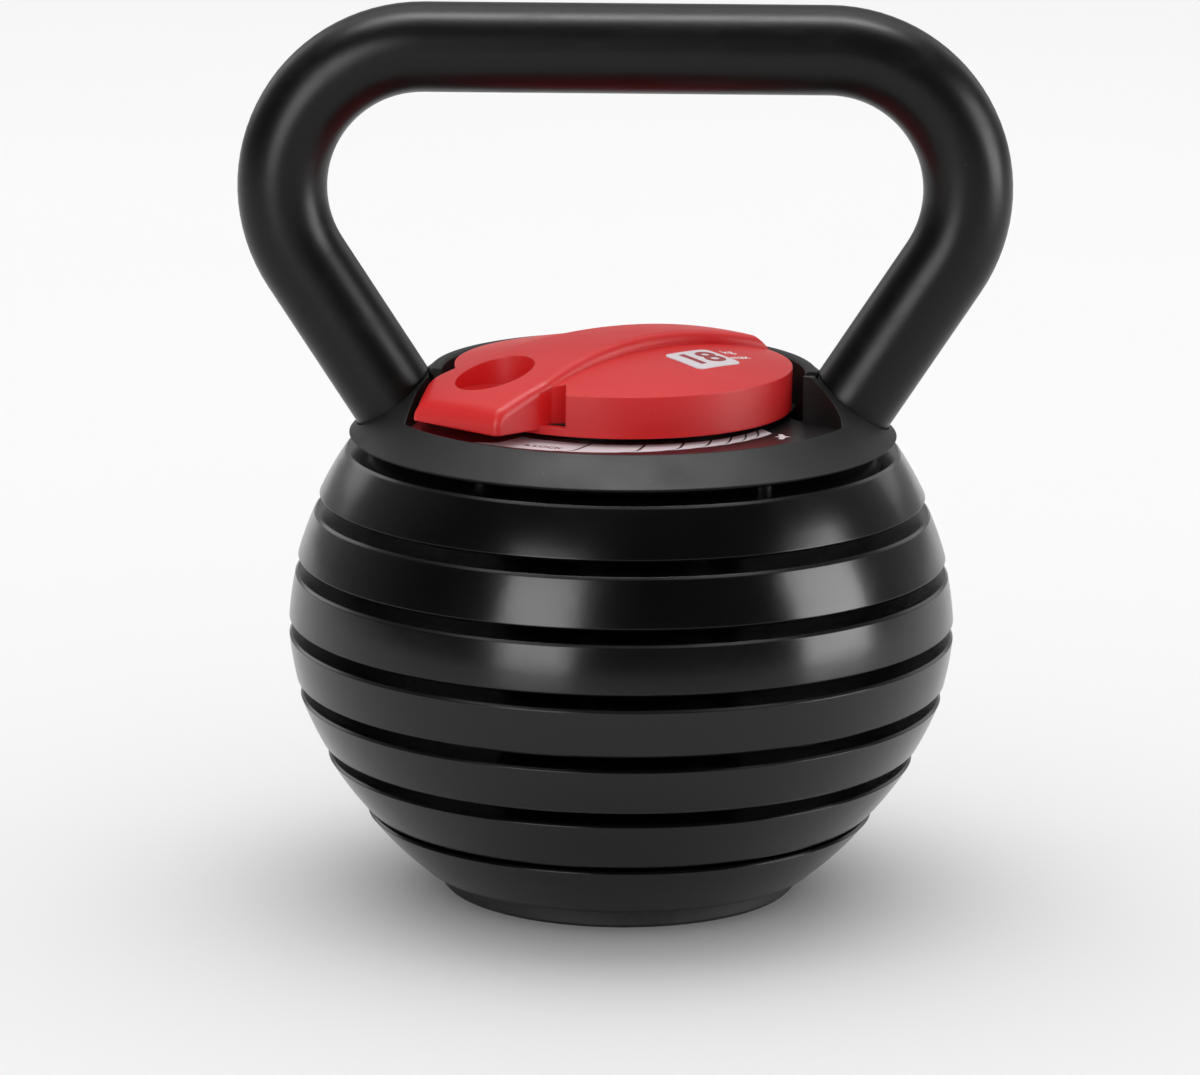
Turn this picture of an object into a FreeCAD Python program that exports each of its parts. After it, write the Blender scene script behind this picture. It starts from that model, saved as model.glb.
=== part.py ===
import FreeCAD
import Part
import math
import os
import re
import Sketcher

# Adjustable kettlebell, in millimetres.  Origin at the centre of the foot's underside,
# +Z up along the centre post, -Y towards the side that carries the lock dial's scale.
# A steel skeleton (handle, deck, post, base) carries six iron plates with U slots that
# open to +Y.  A red knob turns a coarse screw that presses a clamp ring on the stack.

PLATE_COUNT = 6

# Driving dimensions, each written once.
DRIVING = {
    # how far a cutting tool runs past what it cuts, and depth left under a screw's tip
    "overcut": 1.0,
    "tip_room": 1.0,
    # ball
    "ball_radius": 105.0,
    "belly_height": 84.0,
    "reach_up": 146.0,
    "reach_down": 126.0,
    "roundness": 1.9,
    # plate stack
    "base_top": 25.0,
    "bottom_plate_gap": 1.4,
    "bottom_plate_pitch": 18.25,
    "plate_pitch": 19.55,
    "plate_gap": 4.15,
    "plate_chamfer": 0.8,
    "rim_wall": 15.0,
    "hub_radius": 38.0,
    "slot_clearance": 1.0,
    "slot_web": 7.0,
    # post and base
    "post_radius": 14.0,
    "post_spigot_radius": 10.0,
    "post_seat_depth": 4.0,
    "foot_radius": 56.5,
    "foot_inner_radius": 44.0,
    "foot_height": 7.0,
    "foot_chamfer": 1.0,
    "bolt_radius": 5.0,
    "bolt_head_overhang": 3.5,
    "bolt_clearance": 0.3,
    "bolt_head_height": 5.5,
    "bolt_head_chamfer": 0.6,
    "bolt_socket_radius": 4.5,
    "bolt_socket_depth": 3.3,
    "washer_overhang": 7.0,
    "washer_thickness": 2.0,
    "bolt_recess_gap": 2.0,
    "bolt_recess_depth": 6.0,
    "bolt_reach": 30.0,
    # deck
    "deck_gap": 2.0,
    "deck_inset": 6.0,
    "deck_thickness": 3.5,
    "deck_chamfer": 1.0,
    "dish_margin": 8.0,
    "dish_depth": 6.2,
    # handle
    "tube_radius": 14.0,
    "tube_wall": 2.5,
    "grip_height": 267.0,
    "leg_inset": 8.1,
    "bend_radius": 44.0,
    "leg_lean": 33.0,
    "leg_overrun": 4.0,
    # cover
    "cover_gap": 4.0,
    "skirt_inset": 3.0,
    "cover_height": 21.0,
    "well_rim_width": 3.0,
    "cover_wall": 2.5,
    "cover_edge": 0.8,
    "tub_inset": 0.2,
    "well_gap": 4.0,
    "well_floor_height": 6.5,
    "floor_thickness": 2.0,
    "floor_bore_gap": 1.5,
    "scale_gap": 1.6,
    "scale_half_angle": 64.0,
    "scoop_radius": 22.0,
    "scoop_end_angle": 80.0,
    "lever_pocket_angle": 77.0,
    "lever_pocket_end": 87.0,
    "lever_pocket_inset": 9.0,
    "leg_clearance": 0.4,
    "leg_notch_length": 4.0,
    "leg_notch_width": 6.0,
    "leg_notch_depth": 5.0,
    "leg_notch_y": 9.0,
    "label_thickness": 0.3,
    "label_margin": 0.6,
    # knob
    "knob_radius": 53.0,
    "knob_wall": 3.0,
    "knob_wall_height": 10.4,
    "knob_lift": 2.7,
    "flange_height": 2.5,
    "knob_dome_rise": 6.6,
    "arm_rise": 3.8,
    "arm_top_radius": 178.0,
    "arm_edge_radius": 3.0,
    "lever_end_radius": 6.5,
    "lever_corner_radius": 2.2,
    "lever_clearance": 4.2,
    "lever_length": 20.4,
    "lever_corner_drop": 3.6,
    "lever_left_angle": -61.7,
    "lever_front_angle": -33.4,
    "lever_root_angle": -27.0,
    "lever_root_depth": 4.5,
    "lever_heel_drop": 9.6,
    "lever_heel_angle": -75.2,
    "lever_neck_drop": 14.6,
    "lever_neck_angle": -77.7,
    "lever_notch_depth": 7.5,
    "lever_notch_angle": -22.5,
    "lever_notch_mouth": -17.0,
    "notch_back_angle": 10.0,
    "notch_back_depth": 12.0,
    "arm_run_off": 6.0,
    "arm_tail_length": 15.0,
    "arm_tail_radius": 30.0,
    "arm_far_angle": 136.0,
    "arm_near_angle": 120.0,
    "arm_apex_x": 4.0,
    "arm_near_radius": 290.0,
    "arm_far_radius": 790.0,
    "finger_offset": 48.3,
    "finger_angle": 55.3,
    "finger_radius": 12.3,
    "finger_depth": 10.5,
    "finger_floor_radius": 30.0,
    "finger_drop": 6.5,
    # clamp screw
    "clamp_travel": 3.0,
    "pad_thickness": 2.0,
    "ring_thickness": 2.8,
    "pin_margin": 4.9,
    "ring_bore_clearance": 0.6,
    "pin_radius": 2.4,
    "pin_wall": 1.2,
    "pin_clearance": 0.3,
    "nut_rim": 0.9,
    "nut_thickness": 3.0,
    "nut_collar_wall": 3.5,
    "nut_clearance": 0.4,
    "nut_collar_height": 3.0,
    "screw_radius": 10.0,
    "running_clearance": 0.06,
    "spindle_radius": 6.0,
    "spindle_reach": 22.0,
    "spindle_float": 1.0,
    "bush_wall": 2.0,
    "housing_gap": 0.6,
    "housing_wall": 3.0,
    "housing_top": 3.0,
    "housing_flange_width": 8.9,
    "housing_flange_height": 3.0,
    "thrust_washer_thickness": 1.0,
    "drive_flange": 14.0,
    "drive_thickness": 2.4,
    "drive_gap": 0.3,
    "badge_length": 19.0,
    "badge_width": 16.0,
    "badge_thickness": 0.3,
    "badge_corner": 2.2,
    "badge_x": 24.6,
    "badge_y": -14.5,
    "badge_turn": 45.0,
    # small screws
    "small_screw_radius": 1.75,
    "small_head_radius": 3.2,
    "small_head_height": 1.5,
    "small_screw_reach": 4.0,
    "cover_screw_room": 0.2,
    "screw_boss_radius": 4.5,
}

# Sizes that follow from the driving ones; the spreadsheet works them out.
DERIVED = {
    "bottom_plate_top": "base_top + bottom_plate_pitch",
    "stack_top": "bottom_plate_top + (PLATES - 1) * plate_pitch",
    "rim_thickness": "plate_pitch - plate_gap",
    "slot_radius": "post_radius + slot_clearance",
    "deck_bottom": "stack_top + deck_gap",
    "deck_top": "deck_bottom + deck_thickness",
    "dish_under": "deck_bottom + dish_depth",
    "well_radius": "knob_radius + well_gap",
    "lever_reach": "knob_radius + lever_length",
    "scale_radius": "lever_reach + scale_gap",
    "cover_radius": "scale_radius + tube_radius - skirt_inset",
    "cover_top_radius": "well_radius + well_rim_width",
    "cover_slope_run": "cover_radius - cover_top_radius",
    "deck_radius": "cover_radius - deck_inset",
    "leg_foot_x": "well_radius + tube_radius / cos(leg_lean * 1 deg) - leg_inset",
    "grip_half_length": "leg_foot_x - bend_radius * cos(leg_lean * 1 deg)"
                        " + (grip_height - bend_radius - bend_radius * sin(leg_lean * 1 deg)"
                        " - deck_top) * tan(leg_lean * 1 deg)",
    "dish_top": "deck_top + dish_depth",
    "bend_height": "grip_height - bend_radius",
    "leg_start_x": "grip_half_length + bend_radius * cos(leg_lean * 1 deg)",
    "leg_start_z": "bend_height - bend_radius * sin(leg_lean * 1 deg)",
    "leg_end_z": "deck_bottom - leg_overrun",
    "leg_end_x": "leg_start_x - (leg_start_z - leg_end_z) * tan(leg_lean * 1 deg)",
    "cover_bottom": "stack_top + cover_gap",
    "cover_top": "cover_bottom + cover_height",
    "floor_top": "cover_bottom + well_floor_height",
    "floor_bottom": "floor_top - floor_thickness",
    "label_top": "floor_top + label_thickness",
    "flange_bottom": "label_top + knob_lift",
    "flange_top": "flange_bottom + flange_height",
    "knob_shoulder": "flange_top + knob_wall_height",
    "knob_top": "knob_shoulder + knob_dome_rise",
    "dome_radius": "(knob_radius ^ 2 + knob_dome_rise ^ 2) / (2 * knob_dome_rise)",
    "arm_top": "knob_top + arm_rise",
    "lever_bottom": "label_top + lever_clearance",
    "pad_top": "stack_top + pad_thickness",
    "ring_top": "pad_top + ring_thickness",
    "ring_bore": "post_radius + ring_bore_clearance",
    "pin_circle": "ring_bore + pin_wall + pin_radius",
    "ring_radius": "pin_circle + pin_margin + pin_radius",
    "nut_radius": "pin_circle + nut_rim + pin_radius",
    "nut_collar_radius": "screw_radius + nut_collar_wall",
    "housing_bore": "nut_radius + housing_gap",
    "housing_flange": "housing_bore + housing_wall + housing_flange_width",
    "dish_radius": "housing_flange + dish_margin",
    "floor_bore_radius": "dish_radius + floor_bore_gap",
    "drive_radius": "spindle_radius + drive_flange",
    "bolt_head_radius": "bolt_radius + bolt_head_overhang",
    "washer_radius": "bolt_radius + washer_overhang",
    "bolt_recess_radius": "washer_radius + bolt_recess_gap",
    "nut_bottom": "dish_top + nut_clearance",
    "nut_top": "nut_bottom + nut_thickness",
    "collar_top": "nut_top + nut_collar_height",
    "screw_top": "collar_top + clamp_travel + drive_gap",
    "housing_under": "screw_top + thrust_washer_thickness",
    "housing_height": "housing_under + housing_top",
    "drive_bottom": "housing_height + drive_gap",
    "drive_top": "drive_bottom + drive_thickness",
    "bush_radius": "spindle_radius + bush_wall",
    "spindle_bottom": "dish_top - spindle_reach",
    "bolt_seat": "foot_height + bolt_recess_depth",
    "bolt_head_low": "bolt_seat - washer_thickness - bolt_head_height",
    "foot_screw_circle": "(foot_radius + foot_inner_radius) / 2",
    "foot_screw_seat": "foot_height / 2",
    "housing_screw_circle": "(housing_bore + housing_wall + housing_flange) / 2",
    "cover_screw_circle": "(dish_radius + deck_radius) / 2",
    "drive_screw_circle": "(spindle_radius + drive_radius) / 2",
    "lever_front_reach": "lever_reach - lever_corner_drop",
    "finger_floor": "arm_top - finger_drop - finger_depth",
}


def make_sheet(doc):
    """Writes every size into the spreadsheet, driving ones as numbers, the rest as formulas."""
    sheet = doc.addObject("Spreadsheet::Sheet", "Sizes")
    row = 1
    for name, value in DRIVING.items():
        sheet.set(f"A{row}", name)
        sheet.set(f"B{row}", str(value))
        sheet.setAlias(f"B{row}", name)
        row += 1
    for name, formula in DERIVED.items():
        sheet.set(f"A{row}", name)
        sheet.setAlias(f"B{row}", name)
        sheet.set(f"B{row}", "=" + formula.replace("PLATES", str(PLATE_COUNT)))
        row += 1
    doc.recompute()
    return sheet


ALIASES = sorted(list(DRIVING) + list(DERIVED), key=len, reverse=True)
ALIAS_PATTERN = re.compile(r"\b(" + "|".join(ALIASES) + r")\b")


def linked(formula):
    """A formula in plain size names, written so that any object can read the sheet."""
    return ALIAS_PATTERN.sub(r"Sizes.\1", str(formula))


def size(doc, name):
    """The present value of one named size."""
    return float(doc.Sizes.get(name))


def bind(item, **formulas):
    """Binds properties of an object to formulas in size names; z means the height it sits at."""
    for prop, formula in formulas.items():
        path = {"x": "Placement.Base.x", "y": "Placement.Base.y", "z": "Placement.Base.z",
                "turn": "Placement.Rotation.Angle"}.get(prop, prop)
        item.setExpression(path, linked(formula))
    return item


def origin_plane(body, role):
    """One of a body's own origin planes."""
    return next(item for item in body.Origin.OriginFeatures if item.Role == role)


def new_body(doc, name):
    body = doc.addObject("PartDesign::Body", name)
    body.Label = name
    return body


def new_sketch(body, name, role):
    """A sketch on one of the body's own planes."""
    sketch = body.newObject("Sketcher::SketchObject", name)
    sketch.AttachmentSupport = [(origin_plane(body, role), "")]
    sketch.MapMode = "FlatFace"
    return sketch


def place_point(sketch, index, end, across, up):
    """Ties one end of a sketch edge to two formulas, measured from the sketch's origin."""
    for kind, formula in (("DistanceX", across), ("DistanceY", up)):
        value = evaluate(sketch.Document, formula)
        number = sketch.addConstraint(Sketcher.Constraint(kind, -1, 1, index, end, value))
        sketch.setExpression(f"Constraints[{number}]", linked(formula))


def size_radius(sketch, index, formula):
    """Ties the radius of a sketch arc or circle to a formula."""
    value = evaluate(sketch.Document, formula)
    number = sketch.addConstraint(Sketcher.Constraint("Radius", index, value))
    sketch.setExpression(f"Constraints[{number}]", linked(formula))


def arc_between(start, end, radius):
    """Arc from start to end that bulges to the right of the way along for a positive radius
    and to the left for a negative one."""
    chord = end - start
    middle = (start + end) * 0.5
    normal = FreeCAD.Vector(chord.y, -chord.x, 0).normalize()
    sagitta = abs(radius) - math.sqrt(radius ** 2 - (chord.Length / 2) ** 2)
    return Part.Arc(start, middle + normal * math.copysign(sagitta, radius), end)


def draw_outline(doc, sketch, points):
    """A closed outline of (across, up) formulas.  A third item makes the edge to the next
    point an arc of that radius, as arc_between says."""
    vectors = [FreeCAD.Vector(evaluate(doc, item[0]), evaluate(doc, item[1]), 0)
               for item in points]
    count = len(points)
    ends = []
    for index, point in enumerate(points):
        start = vectors[index]
        end = vectors[(index + 1) % count]
        if len(point) == 2:
            sketch.addGeometry(Part.LineSegment(start, end), False)
            ends.append((1, 2))
            continue
        radius = evaluate(doc, point[2])
        sketch.addGeometry(arc_between(start, end, radius), False)
        ends.append((1, 2) if radius > 0 else (2, 1))
    for index, point in enumerate(points):
        nearby = (index + 1) % count
        sketch.addConstraint(Sketcher.Constraint("Coincident", index, ends[index][1],
                                                 nearby, ends[nearby][0]))
        place_point(sketch, index, ends[index][0], point[0], point[1])
        if len(point) == 3:
            size_radius(sketch, index, f"abs({point[2]})")


def evaluate(doc, formula):
    """The value of a formula in size names."""
    return float(doc.Sizes.evalExpression(linked(formula)))


def polar(radius, angle):
    """A plan point at a distance from the axis, its angle counted from -Y towards +X."""
    return f"({radius}) * sin(({angle}) * 1 deg)", f"-({radius}) * cos(({angle}) * 1 deg)"


def lathe(doc, name, points):
    """A body turned about Z from a closed outline of (radius, height) formulas."""
    body = new_body(doc, name)
    sketch = new_sketch(body, name + "_outline", "XZ_Plane")
    draw_outline(doc, sketch, points)
    turned = body.newObject("PartDesign::Revolution", name + "_turned")
    turned.Profile = sketch
    turned.ReferenceAxis = (sketch, ["V_Axis"])
    turned.Angle = 360
    return body


def slab(doc, name, points, low, height):
    """A body padded up from a closed plan outline of (x, y) formulas at a given height."""
    body = new_body(doc, name)
    sketch = new_sketch(body, name + "_outline", "XY_Plane")
    draw_outline(doc, sketch, points)
    sketch.setExpression("AttachmentOffset.Base.z", linked(low))
    pad = body.newObject("PartDesign::Pad", name + "_pad")
    pad.Profile = sketch
    pad.setExpression("Length", linked(height))
    return body


def cylinder(doc, name, radius, low, height, x="0", y="0"):
    item = doc.addObject("Part::Cylinder", name)
    return bind(item, Radius=radius, Height=height, x=x, y=y, z=low)


def sphere(doc, name, radius, z, x="0", y="0"):
    item = doc.addObject("Part::Sphere", name)
    return bind(item, Radius=radius, x=x, y=y, z=z)


def washer(doc, name, inner, outer, low, high):
    """A flat ring between two heights."""
    return lathe(doc, name, [(inner, low), (outer, low), (outer, high), (inner, high)])


def join(doc, name, *items):
    result = doc.addObject("Part::MultiFuse", name)
    result.Shapes = list(items)
    result.Refine = True
    result.Label = name
    return result


def cut(doc, name, base, *tools):
    """Base less one or more tools."""
    result = doc.addObject("Part::Cut", name)
    result.Base = base
    result.Tool = tools[0] if len(tools) == 1 else join(doc, name + "_tools", *tools)
    result.Label = name
    return result


def common(doc, name, *items):
    result = doc.addObject("Part::MultiCommon", name)
    result.Shapes = list(items)
    result.Label = name
    return result


def group(doc, name, items):
    """Separate solids that share one node."""
    result = doc.addObject("Part::Compound", name)
    result.Links = items
    result.Label = name
    return result


def circle_of(name, make, circle, first_angle, count=4):
    """Copies of one piece on a circle about Z.  make(copy_name, x, y) builds each copy."""
    copies = []
    for index in range(count):
        x, y = polar(circle, first_angle + 360.0 * index / count)
        copies.append(make(f"{name}_{index + 1}", x, y))
    return copies


def holes(doc, name, radius, low, height, circle, first_angle):
    """Four round holes on a circle, as cutting tools."""
    def drill(copy_name, x, y):
        return cylinder(doc, copy_name, radius, low, height, x, y)
    return circle_of(name, drill, circle, first_angle)


def small_screws(doc, name, seat, reach, circle, first_angle):
    """Four pan-head screws that point up, their heads below the seat height."""
    def screw(copy_name, x, y):
        head = cylinder(doc, copy_name + "_head", "small_head_radius",
                        f"{seat} - small_head_height", "small_head_height", x, y)
        shank = cylinder(doc, copy_name + "_shank", "small_screw_radius", seat, reach, x, y)
        return join(doc, copy_name, head, shank)
    return group(doc, name, circle_of(name[:-1], screw, circle, first_angle))


def profile(height):
    """Radius of the ball at a height, as a formula."""
    up = f"1 - pow(abs({height} - belly_height) / reach_up; roundness)"
    down = f"1 - pow(abs({height} - belly_height) / reach_down; roundness)"
    return f"(ball_radius * (({height}) > belly_height ? ({up}) : ({down})))"


# ---------------------------------------------------------------- plates and base

# Depth of the relief under each plate, top plate first: it brings the plates to one mass.
RELIEF_DEPTHS = (4.0, 7.5, 9.0, 9.5, 8.5, 5.5)


def plate_levels(index):
    """Formulas for the underside of the hub, the underside of the rim and the top of a
    plate; plate 1 is the top one."""
    top = f"(stack_top - {index - 1} * plate_pitch)"
    if index == PLATE_COUNT:
        return "base_top", "(base_top + bottom_plate_gap)", top
    return f"({top} - plate_pitch)", f"({top} - rim_thickness)", top


def make_plate(doc, index):
    """Iron plate: chamfered rim, hub standing proud underneath, ring-shaped relief, and a U
    slot with a web on each side."""
    hub_low, rim_low, top = plate_levels(index)
    depth = RELIEF_DEPTHS[index - 1]
    relief = f"({rim_low} + {depth})"
    wide_low = profile(rim_low)
    wide_top = profile(top)
    relief_edge = f"({wide_low} - rim_wall)"
    disc = lathe(doc, f"plate_{index}_disc", [
        ("0", hub_low),
        ("hub_radius", hub_low),
        ("hub_radius", relief),
        (relief_edge, relief),
        (relief_edge, rim_low),
        (f"{wide_low} - plate_chamfer", rim_low),
        (wide_low, f"{rim_low} + plate_chamfer", "ball_radius"),
        (wide_top, f"{top} - plate_chamfer"),
        (f"{wide_top} - plate_chamfer", top),
        ("0", top),
    ])
    web_x = "(slot_radius + slot_web)"
    web_y = f"({relief_edge} + rim_wall / 3)"
    web = slab(doc, f"plate_{index}_web",
               [(f"-{web_x}", "0"), (web_x, "0"), (web_x, web_y), (f"-{web_x}", web_y)],
               rim_low, f"{depth} + overcut")
    slot_low = f"{hub_low} - overcut"
    slot_height = "plate_pitch + 2 * overcut"
    slot_end = cylinder(doc, f"plate_{index}_slot_end", "slot_radius", slot_low, slot_height)
    mouth_y = "ball_radius + overcut"
    mouth = slab(doc, f"plate_{index}_slot_mouth",
                 [("-slot_radius", "0"), ("slot_radius", "0"), ("slot_radius", mouth_y),
                  ("-slot_radius", mouth_y)], slot_low, slot_height)
    casting = join(doc, f"plate_{index}_casting", disc, web)
    return cut(doc, f"plate_{index}", casting, slot_end, mouth)


FOOT_SCREW_ANGLE = 45.0


def make_base(doc):
    """Fixed bottom weight: seat for the post, bolt bore and recess, foot screw holes."""
    wide_top = profile("base_top")
    wide_low = profile("foot_height")
    blank = lathe(doc, "base_blank", [
        ("0", "foot_height"),
        (f"{wide_low} - plate_chamfer", "foot_height"),
        (wide_low, "foot_height + plate_chamfer", "ball_radius"),
        (wide_top, "base_top - plate_chamfer"),
        (f"{wide_top} - plate_chamfer", "base_top"),
        ("0", "base_top"),
    ])
    seat = cylinder(doc, "base_seat", "post_radius", "base_top - post_seat_depth",
                    "post_seat_depth + overcut")
    bore = cylinder(doc, "base_bore", "bolt_radius + bolt_clearance", "0", "base_top")
    recess = cylinder(doc, "base_recess", "bolt_recess_radius", "0", "bolt_seat")
    screw_holes = holes(doc, "base_screw_hole", "small_screw_radius", "0",
                        "foot_height + small_screw_reach + tip_room", "foot_screw_circle",
                        FOOT_SCREW_ANGLE)
    return cut(doc, "base_weight", blank, seat, bore, recess, *screw_holes)


def make_foot(doc):
    """Rubber ring under the base, with counterbored screw holes."""
    blank = lathe(doc, "foot_blank", [
        ("foot_inner_radius", "0"),
        ("foot_radius - foot_chamfer", "0"),
        ("foot_radius", "foot_chamfer"),
        ("foot_radius", "foot_height"),
        ("foot_inner_radius", "foot_height"),
    ])
    shank_holes = holes(doc, "foot_hole", "small_screw_radius", "-overcut",
                        "foot_height + 2 * overcut",
                        "foot_screw_circle", FOOT_SCREW_ANGLE)
    head_holes = holes(doc, "foot_counterbore", "small_head_radius + drive_gap", "-overcut",
                       "foot_screw_seat + overcut", "foot_screw_circle", FOOT_SCREW_ANGLE)
    return cut(doc, "foot_ring", blank, *shank_holes, *head_holes)


def make_foot_screws(doc):
    return small_screws(doc, "foot_screws", "foot_screw_seat",
                        "foot_height - foot_screw_seat + small_screw_reach",
                        "foot_screw_circle", FOOT_SCREW_ANGLE)


def make_post(doc):
    """Centre post: it sits in the base, its spigot fills the deck's middle hole, and it is
    bored for the spindle's bush above and tapped for the bolt below."""
    blank = lathe(doc, "post_blank", [
        ("0", "base_top - post_seat_depth"),
        ("post_radius", "base_top - post_seat_depth"),
        ("post_radius", "dish_under"),
        ("post_spigot_radius", "dish_under"),
        ("post_spigot_radius", "dish_top"),
        ("bush_radius", "dish_top"),
        ("bush_radius", "spindle_bottom - spindle_float"),
        ("0", "spindle_bottom - spindle_float"),
    ])
    tapped = cylinder(doc, "post_tapped_hole", "bolt_radius", "0",
                      "bolt_seat + bolt_reach + 2 * tip_room")
    return cut(doc, "center_post", blank, tapped)


def make_spindle_bush(doc):
    return washer(doc, "spindle_bush", "spindle_radius + running_clearance", "bush_radius",
                  "spindle_bottom - spindle_float", "dish_top")


def make_post_washer(doc):
    return washer(doc, "post_washer", "bolt_radius + bolt_clearance", "washer_radius",
                  "bolt_seat - washer_thickness", "bolt_seat")


def make_post_bolt(doc):
    """Hexagon-socket bolt up through the base into the post."""
    blank = lathe(doc, "post_bolt_blank", [
        ("0", "bolt_head_low"),
        ("bolt_head_radius - bolt_head_chamfer", "bolt_head_low"),
        ("bolt_head_radius", "bolt_head_low + bolt_head_chamfer"),
        ("bolt_head_radius", "bolt_seat - washer_thickness"),
        ("bolt_radius", "bolt_seat - washer_thickness"),
        ("bolt_radius", "bolt_seat + bolt_reach"),
        ("0", "bolt_seat + bolt_reach"),
    ])
    socket = doc.addObject("Part::Prism", "post_bolt_socket")
    socket.Polygon = 6
    bind(socket, Circumradius="bolt_socket_radius", Height="bolt_socket_depth + overcut",
         z="bolt_head_low - overcut")
    return cut(doc, "post_bolt", blank, socket)


# ---------------------------------------------------------------- handle and deck

def bent_rod(doc, name, radii):
    """Half of the handle's centre line with a round section of one or two radii piped along
    it.  Returns the body and its pipe."""
    body = new_body(doc, name)
    path = new_sketch(body, name + "_path", "XZ_Plane")
    corners = [("0", "grip_height"), ("grip_half_length", "grip_height"),
               ("leg_start_x", "leg_start_z"), ("leg_end_x", "leg_end_z")]
    start, turn, leg, foot = (FreeCAD.Vector(evaluate(doc, x), evaluate(doc, z), 0)
                              for x, z in corners)
    path.addGeometry(Part.LineSegment(start, turn), False)
    center = FreeCAD.Vector(turn.x, evaluate(doc, "bend_height"), 0)
    bend = Part.Circle(center, FreeCAD.Vector(0, 0, 1), evaluate(doc, "bend_radius"))
    lean = math.radians(evaluate(doc, "leg_lean"))
    path.addGeometry(Part.ArcOfCircle(bend, -lean, math.pi / 2), False)
    path.addGeometry(Part.LineSegment(leg, foot), False)
    path.addConstraint(Sketcher.Constraint("Coincident", 0, 2, 1, 2))
    path.addConstraint(Sketcher.Constraint("Coincident", 1, 1, 2, 1))
    place_point(path, 0, 1, *corners[0])
    place_point(path, 0, 2, *corners[1])
    place_point(path, 2, 1, *corners[2])
    place_point(path, 2, 2, *corners[3])
    size_radius(path, 1, "bend_radius")
    section = new_sketch(body, name + "_section", "YZ_Plane")
    for index, radius in enumerate(radii):
        middle = FreeCAD.Vector(0, evaluate(doc, "grip_height"), 0)
        ring = Part.Circle(middle, FreeCAD.Vector(0, 0, 1), evaluate(doc, radius))
        section.addGeometry(ring, False)
        place_point(section, index, 3, "0", "grip_height")
        size_radius(section, index, radius)
    pipe = body.newObject("PartDesign::AdditivePipe", name + "_pipe")
    pipe.Profile = section
    pipe.Spine = (path, ["Edge1", "Edge2", "Edge3"])
    return body, pipe


def both_sides(body, features):
    """Mirrors features of a body to the other side of the middle plane."""
    mirrored = body.newObject("PartDesign::Mirrored", body.Label + "_both_sides")
    mirrored.Originals = features
    mirrored.MirrorPlane = (origin_plane(body, "YZ_Plane"), [""])
    body.Tip = mirrored
    return body


def make_handle(doc):
    """One bent steel tube: half is piped along its centre line, trimmed flat where it is
    welded to the deck, and mirrored."""
    body, pipe = bent_rod(doc, "handle_tube", ("tube_radius", "tube_radius - tube_wall"))
    trim = new_sketch(body, "handle_trim", "XZ_Plane")
    draw_outline(doc, trim, [("0", "0"), ("cover_radius * 2", "0"),
                             ("cover_radius * 2", "deck_top"), ("0", "deck_top")])
    pocket = body.newObject("PartDesign::Pocket", "handle_foot_cut")
    pocket.Profile = trim
    pocket.Midplane = True
    pocket.setExpression("Length", linked("cover_radius"))
    return both_sides(body, [pipe, pocket])


COVER_SCREW_ANGLE = 45.0
HOUSING_SCREW_ANGLE = 0.0
PIN_ANGLE = 45.0


def make_deck(doc):
    """Pressed steel plate that the legs are welded to, dished up in the middle to make room
    for the clamp ring, with holes for the post, the pins and the screws."""
    blank = lathe(doc, "deck_blank", [
        ("post_spigot_radius", "dish_under"),
        ("dish_radius - deck_thickness", "dish_under"),
        ("dish_radius - deck_thickness", "deck_bottom"),
        ("deck_radius - deck_chamfer", "deck_bottom"),
        ("deck_radius", "deck_bottom + deck_chamfer"),
        ("deck_radius", "deck_top"),
        ("dish_radius", "deck_top"),
        ("dish_radius", "dish_top"),
        ("post_spigot_radius", "dish_top"),
    ])
    drilled = holes(doc, "deck_pin_hole", "pin_radius + pin_clearance", "dish_under - overcut",
                    "deck_thickness + 2 * overcut", "pin_circle", PIN_ANGLE)
    drilled += holes(doc, "deck_housing_hole", "small_screw_radius", "dish_under - overcut",
                     "deck_thickness + 2 * overcut", "housing_screw_circle", HOUSING_SCREW_ANGLE)
    drilled += holes(doc, "deck_cover_hole", "small_screw_radius", "deck_bottom - overcut",
                     "deck_thickness + 2 * overcut", "cover_screw_circle", COVER_SCREW_ANGLE)
    return cut(doc, "deck_plate", blank, *drilled)


# ---------------------------------------------------------------- cover and label

def sector(doc, name, low, height, grow="0"):
    """Block that fills the cover's sunk scale sector, grown sideways by an amount: inside the
    scale radius, between a scooped wall at the right and one that clears the lever at the
    left."""
    far = "(scale_radius + tube_radius)"
    swing = f"(({grow}) * 57.3 / scale_radius)"
    plan = [
        polar("well_radius - well_gap", f"-lever_pocket_end - {swing}"),
        polar("well_radius", f"-lever_pocket_end - {swing}"),
        polar(f"scale_radius - lever_pocket_inset + {grow}", f"-lever_pocket_angle - {swing}"),
        polar("scale_radius", f"-scale_half_angle - {swing}"),
        polar(far, f"-scale_half_angle - {swing}"),
        polar(f"2 * {far}", "0"),
        polar(far, f"scale_half_angle + {swing}"),
        polar("scale_radius", f"scale_half_angle + {swing}")
        + (f"scoop_radius + {grow}",),
        polar("well_radius - well_gap", f"scoop_end_angle + {swing}"),
        polar("floor_bore_radius - overcut", "0"),
    ]
    wedge = slab(doc, name + "_wedge", plan, low, height)
    disc = cylinder(doc, name + "_disc", f"scale_radius + {grow}", low, height)
    return common(doc, name, wedge, disc)


def leg_notch(doc, name, side):
    """Small square relief in the rim beside a leg's inner edge."""
    notch = doc.addObject("Part::Box", name)
    return bind(notch, Length="leg_notch_length", Width="leg_notch_width",
                Height="2 * leg_notch_depth", y="-leg_notch_y", z="cover_top - leg_notch_depth",
                x=f"{side} * (cover_top_radius - overcut) - leg_notch_length / 2")


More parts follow.
